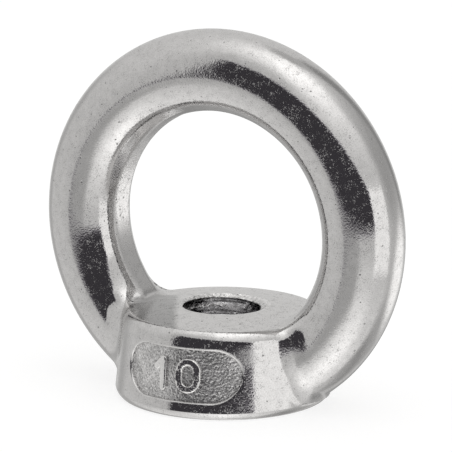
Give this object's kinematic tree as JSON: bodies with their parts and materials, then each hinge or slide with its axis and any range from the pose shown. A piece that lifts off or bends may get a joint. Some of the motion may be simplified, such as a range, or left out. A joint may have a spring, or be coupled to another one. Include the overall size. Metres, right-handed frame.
{
  "type": "lifting eye nut",
  "caption": "Lifting eye nut: round ring cast on a collar that screws onto an M10 stud, for a hook or shackle.",
  "frame": {"origin": "centre of the flat seating face, on the axis of the thread", "axes": "+Z from the seating face to the crown of the ring, +X across the ring in its own plane, +Y through the ring, away from the side with the recessed panel"},
  "size_m": [0.045, 0.0248, 0.0421],
  "materials": {
    "stainless": "polished stainless casting with fine grain; the panel floor and the countersinks are matt"
  },
  "bodies": {
    "root": {"eye_nut": "stainless"}
  },
  "joints": []
}
